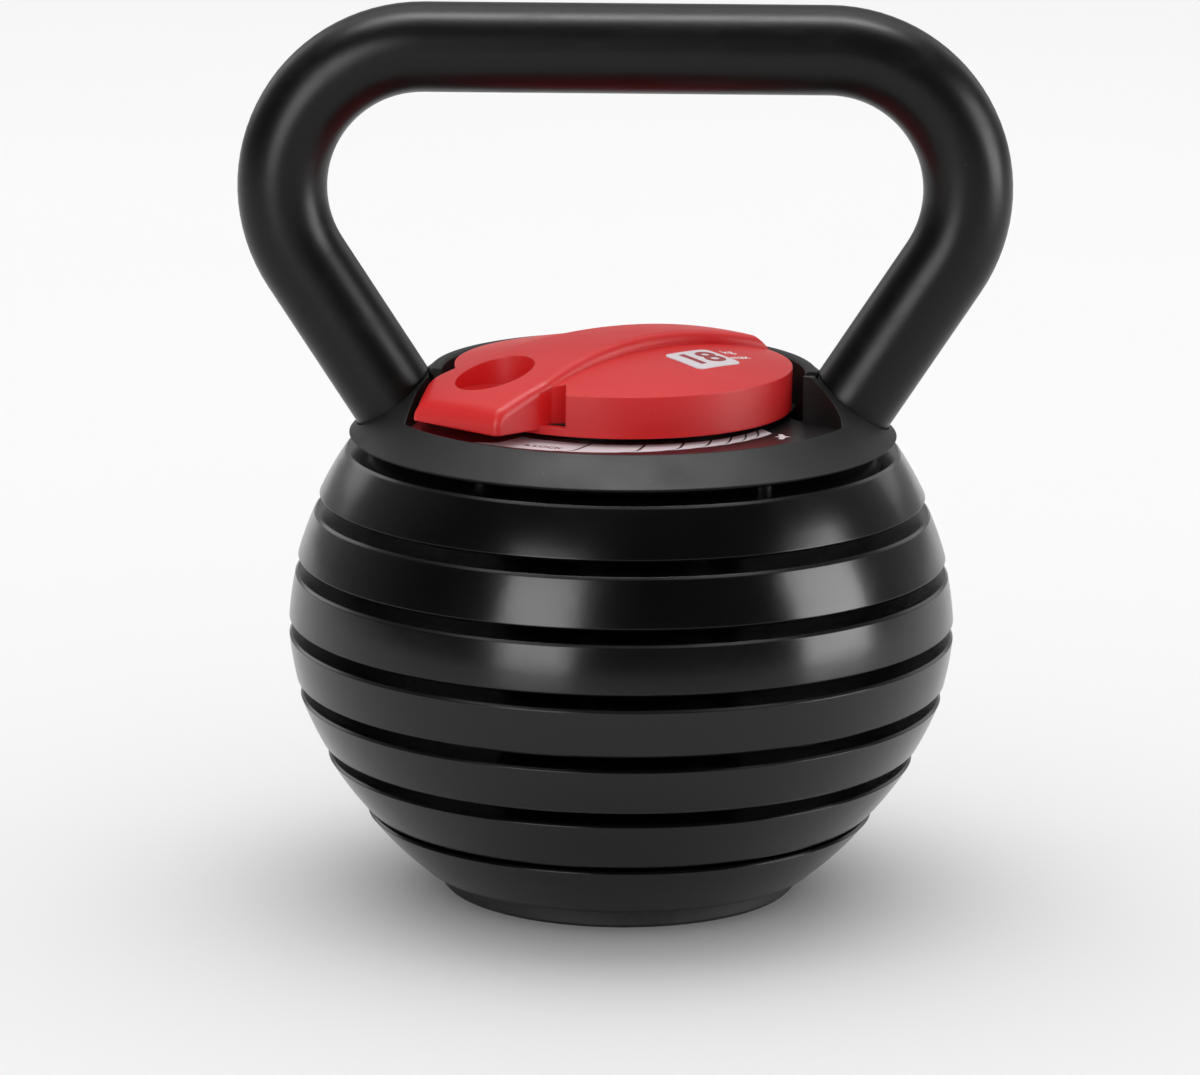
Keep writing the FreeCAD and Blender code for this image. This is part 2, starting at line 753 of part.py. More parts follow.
def make_cover(doc):
    """Black moulded cover: sloping skirt, round well for the knob, sunk scale sector, holes
    for the legs and four screw bosses."""
    well_wall = "(well_radius + cover_wall)"
    skirt_inside = "(cover_radius - 1.3 * cover_wall)"
    slope = "(cover_slope_run / cover_height)"
    shell = lathe(doc, "cover_shell", [
        ("floor_bore_radius", "floor_bottom"),
        (well_wall, "floor_bottom"),
        (well_wall, "cover_top - 2 * cover_wall"),
        (f"{skirt_inside} - {slope} * (cover_height - 2 * cover_wall)",
         "cover_top - 2 * cover_wall"),
        (skirt_inside, "cover_bottom"),
        ("cover_radius - cover_edge", "cover_bottom"),
        ("cover_radius", "cover_bottom + cover_edge"),
        (f"cover_top_radius + {slope} * cover_edge", "cover_top - cover_edge",
         "2 * cover_edge"),
        ("cover_top_radius - cover_edge", "cover_top"),
        ("well_radius + cover_edge", "cover_top"),
        ("well_radius", "cover_top - cover_edge"),
        ("well_radius", "floor_top"),
        ("floor_bore_radius", "floor_top"),
    ])
    floor_edge = f"(cover_radius - {slope} * (floor_bottom - cover_bottom) - tub_inset)"
    limit = lathe(doc, "cover_tub_limit", [
        ("0", "floor_bottom"),
        (floor_edge, "floor_bottom"),
        ("cover_top_radius - tub_inset", "cover_top"),
        ("0", "cover_top"),
    ])
    tub = common(doc, "cover_tub", limit,
                 sector(doc, "cover_tub_block", "floor_bottom", "cover_height", "cover_wall"))
    boss_height = "floor_top - deck_top"

    def boss(name, x, y):
        return cylinder(doc, name, "screw_boss_radius", "deck_top", boss_height, x, y)
    bosses = circle_of("cover_boss", boss, "cover_screw_circle", COVER_SCREW_ANGLE)
    whole = join(doc, "cover_whole", shell, tub, *bosses)
    well = cylinder(doc, "cover_well", "well_radius", "floor_top", "cover_height")
    bore = cylinder(doc, "cover_bore", "floor_bore_radius", "cover_bottom", "cover_height")
    scale = sector(doc, "cover_sector", "floor_top", "cover_height")
    screw_holes = holes(doc, "cover_screw_hole", "small_screw_radius", "deck_top - overcut",
                        "small_screw_reach + overcut + cover_screw_room", "cover_screw_circle", COVER_SCREW_ANGLE)
    rod, pipe = bent_rod(doc, "cover_leg_hole", ("tube_radius + leg_clearance",))
    leg_holes = both_sides(rod, [pipe])
    notches = [leg_notch(doc, "cover_notch_right", 1), leg_notch(doc, "cover_notch_left", -1)]
    return cut(doc, "top_cover", whole, well, bore, scale, *screw_holes, leg_holes, *notches)


def make_label(doc):
    """Printed scale label lying on the floor of the scale sector."""
    sheet = sector(doc, "label_sheet", "floor_top", "label_thickness", "-label_margin")
    bore = cylinder(doc, "label_bore", "floor_bore_radius + label_margin",
                    "floor_top - overcut", "label_thickness + 2 * overcut")
    rod, pipe = bent_rod(doc, "label_leg_hole", ("tube_radius + leg_clearance + label_margin",))
    return cut(doc, "dial_label", sheet, bore, both_sides(rod, [pipe]))


def make_cover_screws(doc):
    return small_screws(doc, "cover_screws", "deck_bottom",
                        "deck_thickness + small_screw_reach", "cover_screw_circle",
                        COVER_SCREW_ANGLE)


# ---------------------------------------------------------------- knob

def arm_outline():
    """Plan outline of the raised arm, from the lever's front corner round its left corner,
    along the far edge to the knob's rim and back along the near edge."""
    return [
        polar("lever_front_reach", "lever_front_angle"),
        polar("lever_reach", "lever_left_angle"),
        polar("lever_reach - lever_heel_drop", "lever_heel_angle"),
        polar("lever_reach - lever_neck_drop", "lever_neck_angle") + ("arm_far_radius",),
        polar("knob_radius + arm_run_off", "arm_far_angle"),
        polar("knob_radius + arm_run_off", "arm_near_angle") + ("arm_near_radius",),
        polar("knob_radius - lever_root_depth", "lever_root_angle"),
    ]


def make_knob(doc):
    """Red knob: a domed shell, and a raised comma-shaped arm that ends in a lever with a
    finger dimple.  A notch above the shell's lower lip parts the lever from its wall."""
    wall = lathe(doc, "knob_blank", [
        ("0", "flange_bottom"),
        ("knob_radius", "flange_bottom"),
        ("knob_radius", "knob_top"),
        ("0", "knob_top"),
    ])
    dome = sphere(doc, "knob_dome", "dome_radius", "knob_top - dome_radius")
    disc = common(doc, "knob_disc", wall, dome)
    notch = slab(doc, "knob_notch", [
        polar("lever_front_reach", "lever_front_angle"),
        polar("knob_radius - lever_root_depth", "lever_root_angle"),
        polar("knob_radius - lever_notch_depth", "lever_notch_angle"),
        polar("knob_radius + lever_notch_depth", "lever_notch_mouth"),
    ], "flange_top", "knob_wall_height * 3")
    notched = cut(doc, "knob_notched_disc", disc, notch)
    arm_block = slab(doc, "knob_arm_block", arm_outline(), "lever_bottom",
                     "arm_top - lever_bottom + overcut")
    cap = sphere(doc, "knob_arm_cap", "arm_top_radius", "arm_top - arm_top_radius", "arm_apex_x")
    arm = common(doc, "knob_arm", arm_block, cap)
    doc.recompute()
    rounded = doc.addObject("Part::Fillet", "knob_arm_rounded")
    rounded.Base = arm
    rounded.Edges = rounded_edges(doc, arm.Shape)
    rim = lathe(doc, "knob_arm_rim", [
        ("0", "lever_bottom"),
        ("knob_radius", "lever_bottom"),
        ("knob_radius", "knob_shoulder", "arm_tail_radius"),
        ("knob_radius - arm_tail_length", "arm_top"),
        ("0", "arm_top"),
    ])
    reach = slab(doc, "knob_lever_side", [
        polar("3 * knob_radius", "0"),
        ("0", "0"),
        polar("3 * knob_radius", "180"),
        ("-3 * knob_radius", "0"),
    ], "lever_bottom", "arm_top")
    kept = join(doc, "knob_arm_zone", rim, reach)
    arm_kept = common(doc, "knob_arm_kept", rounded, kept)
    body = join(doc, "knob_body", notched, arm_kept)
    room = common(doc, "knob_room",
                  cylinder(doc, "knob_room_wall", "knob_radius - knob_wall",
                           "flange_bottom - overcut", "drive_top - flange_bottom + overcut"),
                  sphere(doc, "knob_room_dome", "dome_radius",
                         "knob_top - dome_radius - knob_wall"))
    notch_back = slab(doc, "knob_notch_back", [
        polar("knob_radius", "lever_root_angle - notch_back_angle"),
        polar("knob_radius - notch_back_depth", "lever_root_angle - notch_back_angle"),
        polar("knob_radius - notch_back_depth", "lever_notch_mouth"),
        polar("knob_radius", "lever_notch_mouth"),
    ], "flange_top", "knob_top")
    bowl_x, bowl_y = polar("finger_offset", "-finger_angle")
    bowl_back = cylinder(doc, "finger_bowl_back", "finger_radius + knob_wall",
                         "finger_floor - knob_wall", "knob_top", bowl_x, bowl_y)
    inside = cut(doc, "knob_inside", room, notch_back, bowl_back)
    bowl = common(doc, "finger_bowl",
                  cylinder(doc, "finger_bowl_wall", "finger_radius", "finger_floor",
                           "arm_top - finger_floor", bowl_x, bowl_y),
                  sphere(doc, "finger_bowl_floor", "finger_floor_radius",
                         "finger_floor + finger_floor_radius", bowl_x, bowl_y))
    screw_holes = holes(doc, "knob_screw_hole", "small_screw_radius",
                        "drive_top - overcut", "small_screw_reach - overcut", "drive_screw_circle", 45.0)
    return cut(doc, "lock_knob", body, inside, bowl, *screw_holes)


def rounded_edges(doc, shape):
    """Edges of the arm that are rounded: those round its top, and the lever's upright
    corners.  The cap's own seam, which starts at its apex, is left alone."""
    radius = size(doc, "arm_edge_radius")
    end_radius = size(doc, "lever_end_radius")
    end_reach = size(doc, "lever_front_reach") - end_radius
    rim = size(doc, "knob_radius")
    low = size(doc, "lever_bottom")
    apex = size(doc, "arm_top")
    chosen = []
    for number, edge in enumerate(shape.Edges, start=1):
        box = edge.BoundBox
        seam = box.ZMax > apex - 0.001
        upright = box.XLength < 0.01 and box.YLength < 0.01
        distance = math.hypot(box.Center.x, box.Center.y)
        outside = distance > rim + 3 and box.Center.x < 0
        if seam:
            continue
        if upright and outside:
            corner = size(doc, "lever_corner_radius")
            chosen.append((number, corner, corner))
        elif box.ZMin > low + 0.1:
            at_end = distance > end_reach and box.Center.x < 0
            wide = end_radius if at_end else radius
            chosen.append((number, wide, wide))
    return chosen


def make_badge(doc):
    """Thin number badge that follows the knob's dome."""
    far_x = "(badge_length / 2)"
    far_y = "(badge_width / 2)"
    near_x = "(badge_length / 2 - badge_corner)"
    near_y = "(badge_width / 2 - badge_corner)"
    block = slab(doc, "badge_block", [
        (f"-{near_x}", f"-{far_y}"), (near_x, f"-{far_y}", "badge_corner"),
        (far_x, f"-{near_y}"), (far_x, near_y, "badge_corner"),
        (near_x, far_y), (f"-{near_x}", far_y, "badge_corner"),
        (f"-{far_x}", near_y), (f"-{far_x}", f"-{near_y}", "badge_corner"),
    ], "knob_shoulder", "knob_dome_rise + 2 * overcut")
    block.Placement.Rotation = FreeCAD.Rotation(FreeCAD.Vector(0, 0, 1), 1.0)
    bind(block, x="badge_x", y="badge_y", turn="badge_turn")
    over = sphere(doc, "badge_over", "dome_radius + badge_thickness", "knob_top - dome_radius")
    dome = sphere(doc, "badge_dome", "dome_radius", "knob_top - dome_radius")
    return cut(doc, "knob_badge", common(doc, "badge_cap", block, over), dome)


# ---------------------------------------------------------------- clamp screw

def make_spindle(doc):
    """Steel spindle: pilot in the bush, coarse screw, neck in the housing, spigot in the
    drive plate.  The thread is shown as a plain barrel at its outside diameter."""
    return lathe(doc, "lock_spindle", [
        ("0", "spindle_bottom"),
        ("spindle_radius", "spindle_bottom"),
        ("spindle_radius", "dish_top + drive_gap"),
        ("screw_radius", "dish_top + drive_gap"),
        ("screw_radius", "screw_top"),
        ("spindle_radius", "screw_top"),
        ("spindle_radius", "drive_top"),
        ("0", "drive_top"),
    ])


def make_housing(doc):
    """Cup screwed to the dish: it takes the screw's thrust and guides the spindle."""
    wall = "(housing_bore + housing_wall)"
    neck = "spindle_radius + running_clearance"
    blank = lathe(doc, "housing_blank", [
        ("housing_bore", "dish_top"),
        ("housing_flange", "dish_top"),
        ("housing_flange", "dish_top + housing_flange_height"),
        (wall, "dish_top + housing_flange_height"),
        (wall, "housing_height - 1"),
        (f"{wall} - 1", "housing_height"),
        (neck, "housing_height"),
        (neck, "housing_under"),
        ("housing_bore", "housing_under"),
    ])
    screw_holes = holes(doc, "housing_screw_hole", "small_screw_radius", "dish_top - 1",
                        "housing_flange_height + 2", "housing_screw_circle",
                        HOUSING_SCREW_ANGLE)
    return cut(doc, "spindle_housing", blank, *screw_holes)


def make_housing_screws(doc):
    return small_screws(doc, "housing_screws", "dish_under",
                        "deck_thickness + housing_flange_height", "housing_screw_circle",
                        HOUSING_SCREW_ANGLE)


def make_thrust_washer(doc):
    return washer(doc, "thrust_washer", "spindle_radius + drive_gap", "screw_radius + 2",
                  "screw_top", "housing_under")


def make_drive_plate(doc):
    """Steel plate fixed to the spindle's top; the knob is screwed to it."""
    blank = washer(doc, "drive_blank", "spindle_radius", "drive_radius", "drive_bottom",
                   "drive_top")
    screw_holes = holes(doc, "drive_screw_hole", "small_head_radius", "drive_bottom - 1",
                        "drive_thickness + 2", "drive_screw_circle", 45.0)
    return cut(doc, "drive_plate", blank, *screw_holes)


def make_drive_screws(doc):
    """Four screws whose heads lie flush in the drive plate."""
    def screw(name, x, y):
        head = cylinder(doc, name + "_head", "small_head_radius", "drive_bottom",
                        "drive_thickness", x, y)
        shank = cylinder(doc, name + "_shank", "small_screw_radius", "drive_top",
                         "small_screw_reach - 2", x, y)
        return join(doc, name, head, shank)
    return group(doc, "drive_screws",
                 circle_of("drive_screw", screw, "drive_screw_circle", 45.0))


def make_nut(doc):
    """Clamp nut: a disc with a threaded collar, carried on four pins."""
    bore = "screw_radius + running_clearance"
    blank = lathe(doc, "nut_blank", [
        (bore, "nut_bottom"),
        ("nut_radius", "nut_bottom"),
        ("nut_radius", "nut_top"),
        ("nut_collar_radius", "nut_top"),
        ("nut_collar_radius", "collar_top"),
        (bore, "collar_top"),
    ])
    pin_holes = holes(doc, "nut_pin_hole", "pin_radius", "nut_bottom - 1",
                      "nut_thickness + 2", "pin_circle", PIN_ANGLE)
    return cut(doc, "clamp_nut", blank, *pin_holes)


def make_clamp_ring(doc):
    blank = washer(doc, "ring_blank", "ring_bore", "ring_radius", "pad_top", "ring_top")
    pin_holes = holes(doc, "ring_pin_hole", "pin_radius", "pad_top - 1",
                      "ring_thickness + 2", "pin_circle", PIN_ANGLE)
    return cut(doc, "clamp_ring", blank, *pin_holes)


def make_clamp_pad(doc):
    return washer(doc, "clamp_pad", "ring_bore", "ring_radius", "stack_top", "pad_top")


def make_clamp_pins(doc):
    pins = holes(doc, "clamp_pin", "pin_radius", "pad_top", "nut_top - pad_top",
                 "pin_circle", PIN_ANGLE)
    return group(doc, "clamp_pins", pins)


# ---------------------------------------------------------------- whole object

MAKERS = (
    make_handle, make_deck, make_post, make_spindle_bush, make_post_washer, make_post_bolt,
    make_base, make_foot, make_foot_screws, make_cover, make_cover_screws, make_label,
    make_housing, make_housing_screws, make_thrust_washer,
    make_knob, make_badge, make_drive_plate, make_drive_screws, make_spindle,
    make_nut, make_clamp_pins, make_clamp_ring, make_clamp_pad,
)


def check(doc, nodes):
    """Stops if any object failed to recompute or any sub-part isn't a valid solid."""
    failed = [item.Name for item in doc.Objects
              if "Invalid" in item.State or "Error" in item.State]
    if failed:
        raise RuntimeError(f"these objects failed: {failed}")
    for node in nodes:
        shape = node.Shape
        if shape.isNull() or not shape.isValid() or not shape.Solids:
            raise RuntimeError(f"{node.Label} has no valid solid")


def main():
    doc = FreeCAD.newDocument("kettlebell")
    make_sheet(doc)
    nodes = [make(doc) for make in MAKERS]
    nodes += [make_plate(doc, index + 1) for index in range(PLATE_COUNT)]
    doc.recompute()
    check(doc, nodes)
    os.makedirs("parts", exist_ok=True)
    for node in nodes:
        node.Shape.exportStep(os.path.join("parts", node.Label + ".step"))
        print(f"{node.Label}: {len(node.Shape.Solids)} solid, {node.Shape.Volume / 1000:.1f} cm3")


main()
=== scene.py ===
import bpy
import bmesh
import math
from mathutils import Matrix, Vector
from mathutils.bvhtree import BVHTree


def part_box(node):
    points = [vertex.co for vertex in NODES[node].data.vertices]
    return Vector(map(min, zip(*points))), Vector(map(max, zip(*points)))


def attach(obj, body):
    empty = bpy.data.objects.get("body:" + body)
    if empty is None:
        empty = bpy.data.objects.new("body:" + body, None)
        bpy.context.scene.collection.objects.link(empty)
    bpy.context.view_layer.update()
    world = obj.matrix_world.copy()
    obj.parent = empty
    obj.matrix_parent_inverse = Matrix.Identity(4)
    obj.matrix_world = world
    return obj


# Looks of an adjustable kettlebell: enamelled plates, coated handle, moulded cover and knob,
# and the printed scale and badge, which are thin films draped over the CAD surfaces.

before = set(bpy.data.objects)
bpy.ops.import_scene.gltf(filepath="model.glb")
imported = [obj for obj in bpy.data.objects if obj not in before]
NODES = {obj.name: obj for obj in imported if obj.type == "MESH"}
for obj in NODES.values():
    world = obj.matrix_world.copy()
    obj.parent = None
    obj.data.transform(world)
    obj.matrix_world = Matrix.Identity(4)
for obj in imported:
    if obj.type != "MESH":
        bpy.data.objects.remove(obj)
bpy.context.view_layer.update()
MM = 0.001


# ---------------------------------------------------------------- materials

class Surface:
    """A Principled material built up from procedural layers in object coordinates."""

    def __init__(self, name, color, roughness, metallic=0.0, ior=1.5):
        self.material = bpy.data.materials.new(name)
        self.material.use_nodes = True
        self.tree = self.material.node_tree
        self.shader = self.tree.nodes["Principled BSDF"]
        self.shader.inputs["Base Color"].default_value = (*color, 1)
        self.shader.inputs["Roughness"].default_value = roughness
        self.shader.inputs["Metallic"].default_value = metallic
        self.shader.inputs["IOR"].default_value = ior
        self.place = self.tree.nodes.new("ShaderNodeTexCoord").outputs["Object"]
        self.normal = None

    def node(self, kind, inputs=(), **settings):
        made = self.tree.nodes.new(kind)
        for key, value in settings.items():
            setattr(made, key, value)
        for key, value in dict(inputs).items():
            if isinstance(value, bpy.types.NodeSocket):
                self.tree.links.new(value, made.inputs[key])
            else:
                made.inputs[key].default_value = value
        return made

    def stretched(self, x, y, z):
        """Object coordinates with each axis scaled."""
        return self.node("ShaderNodeMapping", {"Vector": self.place, "Scale": (x, y, z)}).outputs[0]

    def noise(self, size, detail=3.0, rough=0.55, vector=None):
        """Noise whose features are about that many metres across, from 0 to 1."""
        return self.node("ShaderNodeTexNoise", {
            "Vector": vector or self.place, "Scale": 1 / size, "Detail": detail,
            "Roughness": rough}).outputs["Fac"]

    def ramp(self, value, low, high, start=0.0, end=1.0):
        """Value from low..high to start..end, held at the ends."""
        return self.node("ShaderNodeMapRange", {
            "Value": value, "From Min": low, "From Max": high, "To Min": start,
            "To Max": end}).outputs[0]

    def mix(self, factor, first, second):
        """Colour that goes from first to second."""
        made = self.tree.nodes.new("ShaderNodeMix")
        made.data_type = "RGBA"
        for index, value in ((0, factor), (6, first), (7, second)):
            if isinstance(value, bpy.types.NodeSocket):
                self.tree.links.new(value, made.inputs[index])
            else:
                made.inputs[index].default_value = (*value, 1) if index else value
        return made.outputs[2]

    def set(self, key, value):
        if isinstance(value, bpy.types.NodeSocket):
            self.tree.links.new(value, self.shader.inputs[key])
        else:
            self.shader.inputs[key].default_value = value

    def rounded(self, radius):
        """Softens the look of sharp edges by that radius."""
        self.normal = self.node("ShaderNodeBevel", {"Radius": radius}, samples=6).outputs[0]

    def bump(self, height, depth):
        """Adds relief: a 0..1 height that stands that many metres deep."""
        made = self.node("ShaderNodeBump", {"Height": height, "Distance": depth, "Strength": 1.0})
        if self.normal is not None:
            self.tree.links.new(self.normal, made.inputs["Normal"])
        self.normal = made.outputs[0]

    def done(self):
        if self.normal is not None:
            self.tree.links.new(self.normal, self.shader.inputs["Normal"])
        return self.material

    def product(self, first, second):
        return self.node("ShaderNodeMath", {0: first, 1: second}, operation="MULTIPLY").outputs[0]


def enamel():
    """Gloss black enamel over cast iron: faint orange peel and casting swell."""
    s = Surface("plate_enamel", (0.0024, 0.0024, 0.0028), 0.2, ior=1.42)
    cloud = s.noise(0.03, 4)
    dust = s.ramp(s.noise(0.0011, 2), 0.74, 0.80)
    s.set("Base Color", s.mix(s.product(dust, 0.10), (0.0022, 0.0022, 0.0026), (0.15, 0.15, 0.15)))
    s.set("Roughness", s.ramp(cloud, 0.3, 0.7, 0.17, 0.24))
    s.rounded(0.45 * MM)
    s.bump(s.noise(0.0034, 2), 0.014 * MM)
    s.bump(s.noise(0.022, 2), 0.05 * MM)
    return s.done()


def coat():
    """Satin black coating on the bent tube: fine grain, faint rubs."""
    s = Surface("handle_coat", (0.0026, 0.0026, 0.0028), 0.36, ior=1.33)
    rubs = s.ramp(s.noise(0.012, 5, 0.7, s.stretched(0.35, 1, 1)), 0.5, 0.72)
    specks = s.ramp(s.noise(0.0012, 2), 0.75, 0.80)
    s.set("Base Color", s.mix(s.product(specks, 0.16), (0.0026, 0.0026, 0.0028), (0.2, 0.2, 0.2)))
    s.set("Roughness", s.ramp(rubs, 0, 1, 0.33, 0.43))
    s.rounded(0.4 * MM)
    s.bump(s.noise(0.0009, 2), 0.012 * MM)
    s.bump(s.noise(0.006, 2), 0.012 * MM)
    return s.done()


def moulded_black():
    """Matt moulded plastic with a fine spark-eroded texture and a little dust."""
    s = Surface("cover_plastic", (0.010, 0.010, 0.0104), 0.5, ior=1.36)
    dust = s.ramp(s.noise(0.0013, 3), 0.70, 0.79)
    cloud = s.noise(0.02, 4)
    s.set("Base Color", s.mix(s.product(dust, 0.35), s.mix(cloud, (0.008, 0.008, 0.0084),
                                                             (0.012, 0.012, 0.0125)),
                              (0.22, 0.22, 0.21)))
    s.set("Roughness", s.ramp(cloud, 0.3, 0.7, 0.46, 0.58))
    s.rounded(0.5 * MM)
    s.bump(s.noise(0.00055, 3, 0.7), 0.022 * MM)
    return s.done()


def moulded_red():
    """Semi-matt red plastic: fine texture, pale dust specks, a little depth."""
    s = Surface("knob_red", (0.70, 0.012, 0.014), 0.42, ior=1.38)
    cloud = s.noise(0.018, 4)
    body = s.mix(cloud, (0.68, 0.010, 0.012), (0.74, 0.016, 0.017))
    dust = s.ramp(s.noise(0.0012, 3), 0.72, 0.80)
    s.set("Base Color", s.mix(s.product(dust, 0.22), body, (0.8, 0.40, 0.37)))
    s.set("Roughness", s.ramp(cloud, 0.3, 0.7, 0.36, 0.46))
    s.set("Subsurface Weight", 0.08)
    s.set("Subsurface Radius", (0.0022, 0.0005, 0.0004))
    s.set("Subsurface Scale", 1.0)
    s.rounded(0.6 * MM)
    s.bump(s.noise(0.0006, 3, 0.7), 0.014 * MM)
    return s.done()


def rubber():
    """Matt black rubber with scuffs and a fine grain."""
    s = Surface("foot_rubber", (0.016, 0.016, 0.016), 0.7)
    scuff = s.ramp(s.noise(0.01, 6, 0.7), 0.5, 0.75)
    s.set("Base Color", s.mix(scuff, (0.014, 0.014, 0.014), (0.035, 0.034, 0.033)))
    s.set("Roughness", s.ramp(scuff, 0, 1, 0.6, 0.8))
    s.rounded(0.5 * MM)
    s.bump(s.noise(0.0007, 4, 0.7), 0.05 * MM)
    return s.done()


def metal(name, color, rough, tint):
    """Turned or plated metal: fine rings from the lathe and cloudy plating."""
    s = Surface(name, color, rough, 1.0)
    cloud = s.noise(0.012, 4)
    s.set("Base Color", s.mix(cloud, color, tint))
    rings = s.noise(0.0009, 3, 0.6, s.stretched(0.02, 0.02, 1))
    s.set("Roughness", s.ramp(cloud, 0.3, 0.7, rough - 0.06, rough + 0.06))
    s.rounded(0.3 * MM)
    s.bump(rings, 0.01 * MM)
    return s.done()


def scale_print():
    """Printed scale: bright red at the lever's end, through maroon, to black at the right."""
    s = Surface("scale_print", (0.1, 0.004, 0.008), 0.3)
    parts = s.node("ShaderNodeSeparateXYZ", {0: s.place})
    angle = s.node("ShaderNodeMath", {0: parts.outputs["X"], 1: s.node(
        "ShaderNodeMath", {0: parts.outputs["Y"], 1: -1.0}, operation="MULTIPLY").outputs[0]},
        operation="ARCTAN2").outputs[0]
    grain = s.noise(0.0006, 3)
    red = s.mix(s.ramp(angle, math.radians(-62), math.radians(-22)), (0.34, 0.008, 0.016),
                (0.085, 0.004, 0.009))
    dark = s.mix(s.ramp(angle, math.radians(12), math.radians(58)), red, (0.006, 0.005, 0.006))
    s.set("Base Color", s.mix(s.product(grain, 0.06), dark, (0.3, 0.25, 0.25)))
    s.set("Roughness", s.ramp(grain, 0.3, 0.7, 0.26, 0.36))
    s.bump(grain, 0.004 * MM)
    return s.done()


def ink(name, color, second, rough=0.35):
    """Printed ink: a fine mottle and an even surface."""
    s = Surface(name, color, rough)
    mottle = s.noise(0.0007, 4, 0.7)
    s.set("Base Color", s.mix(s.ramp(mottle, 0.35, 0.7), color, second))
    s.set("Roughness", s.ramp(mottle, 0.3, 0.7, rough - 0.05, rough + 0.07))
    s.bump(mottle, 0.003 * MM)
    return s.done()


def floor_paper():
    s = Surface("studio_floor", (0.80, 0.80, 0.80), 0.9, ior=1.2)
    cloud = s.noise(0.5, 2)
    s.set("Base Color", s.mix(cloud, (0.795, 0.795, 0.795), (0.815, 0.815, 0.815)))
    return s.done()


ENAMEL = enamel()
COAT = coat()
COVER = moulded_black()
RED = moulded_red()
RUBBER = rubber()
STEEL = metal("steel", (0.42, 0.42, 0.43), 0.32, (0.50, 0.49, 0.47))
ALLOY = metal("alloy", (0.55, 0.55, 0.56), 0.45, (0.62, 0.62, 0.62))
BRONZE = metal("bronze", (0.50, 0.33, 0.13), 0.35, (0.58, 0.40, 0.18))
SCALE = scale_print()
WHITE_INK = ink("white_ink", (0.90, 0.86, 0.90), (0.95, 0.92, 0.95))
MAROON_INK = ink("maroon_ink", (0.16, 0.010, 0.016), (0.20, 0.014, 0.020))
BADGE = ink("badge_print", (0.74, 0.68, 0.72), (0.80, 0.75, 0.78), 0.38)
BADGE_RED = ink("badge_red", (0.36, 0.010, 0.016), (0.42, 0.014, 0.020), 0.38)

LOOKS = {
    "handle_tube": COAT, "deck_plate": COAT, "base_weight": ENAMEL, "top_cover": COVER,
    "dial_label": SCALE, "lock_knob": RED, "knob_badge": BADGE, "foot_ring": RUBBER,
    "clamp_pad": RUBBER, "spindle_bush": BRONZE, "thrust_washer": BRONZE,
    "clamp_nut": BRONZE, "spindle_housing": ALLOY,
}


def paint(thing, material):
    if not thing.material_slots:
        thing.data.materials.append(material)
    for spot in thing.material_slots:
        spot.material = material


for name, node in NODES.items():
    paint(node, ENAMEL if name.startswith("plate_") else LOOKS.get(name, STEEL))


# ---------------------------------------------------------------- printed films

def polar(radius, degrees):
    """Plan point in millimetres, its angle counted from -Y towards +X."""
    angle = math.radians(degrees)
    return radius * math.sin(angle), -radius * math.cos(angle)


def surface_of(node):
    """The CAD surface that a film is draped over."""
    mesh = NODES[node].data
    return BVHTree.FromPolygons([v.co for v in mesh.vertices],
                                [tuple(p.vertices) for p in mesh.polygons])


def draped(name, mesh, node, step, lift, thickness, material, body):
    """Cuts a flat mesh into a fine grid, lays it on a CAD node from above and gives it
    thickness, so that it follows the surface as ink does."""
    work = bmesh.new()
    work.from_mesh(mesh)
    for axis in (0, 1):
        spots = [v.co[axis] for v in work.verts]
        for index in range(int(min(spots) / step), int(max(spots) / step) + 1):
            normal = Vector((axis == 0, axis == 1, 0))
            bmesh.ops.bisect_plane(work, geom=work.verts[:] + work.edges[:] + work.faces[:],
                                   plane_co=normal * index * step, plane_no=normal)
    tree = surface_of(node)
    for vertex in work.verts:
        start = Vector((vertex.co.x, vertex.co.y, 0.5))
        vertex.co.z = tree.ray_cast(start, Vector((0, 0, -1)))[0].z + lift
    for face in work.faces:
        if face.normal.z < 0:
            face.normal_flip()
    work.to_mesh(mesh)
    work.free()
    piece = bpy.data.objects.new(name, mesh)
    bpy.context.scene.collection.objects.link(piece)
    solid = piece.modifiers.new("film", "SOLIDIFY")
    solid.thickness = thickness
    solid.offset = 1
    paint(piece, material)
    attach(piece, body)
    return piece


def outline_mesh(name, points):
    """A flat mesh filling a closed outline of plan points in millimetres."""
    mesh = bpy.data.meshes.new(name)
    work = bmesh.new()
    corners = [work.verts.new((x * MM, y * MM, 0)) for x, y in points]
    edges = [work.edges.new((corners[i - 1], corners[i])) for i in range(len(corners))]
    bmesh.ops.triangle_fill(work, use_beauty=True, edges=edges)
    work.to_mesh(mesh)
    work.free()
    return mesh


def text_mesh(name, words, height, bold, centre, degrees, squeeze=1.0):
    """Flat lettering of a given capital height in millimetres, centred at a plan point."""
    curve = bpy.data.curves.new(name, "FONT")
    curve.body = words
    curve.align_x = "CENTER"
    curve.align_y = "CENTER"
    curve.size = height * MM / 0.7
    curve.offset = bold * MM
    curve.resolution_u = 6
    thing = bpy.data.objects.new(name + "_curve", curve)
    bpy.context.scene.collection.objects.link(thing)
    bpy.context.view_layer.update()
    mesh = bpy.data.meshes.new_from_object(thing)
    bpy.data.objects.remove(thing)
    mesh.transform(Matrix.Translation((centre[0] * MM, centre[1] * MM, 0))
                   @ Matrix.Rotation(math.radians(degrees), 4, "Z")
                   @ Matrix.Diagonal((squeeze, 1, 1, 1)))
    return mesh


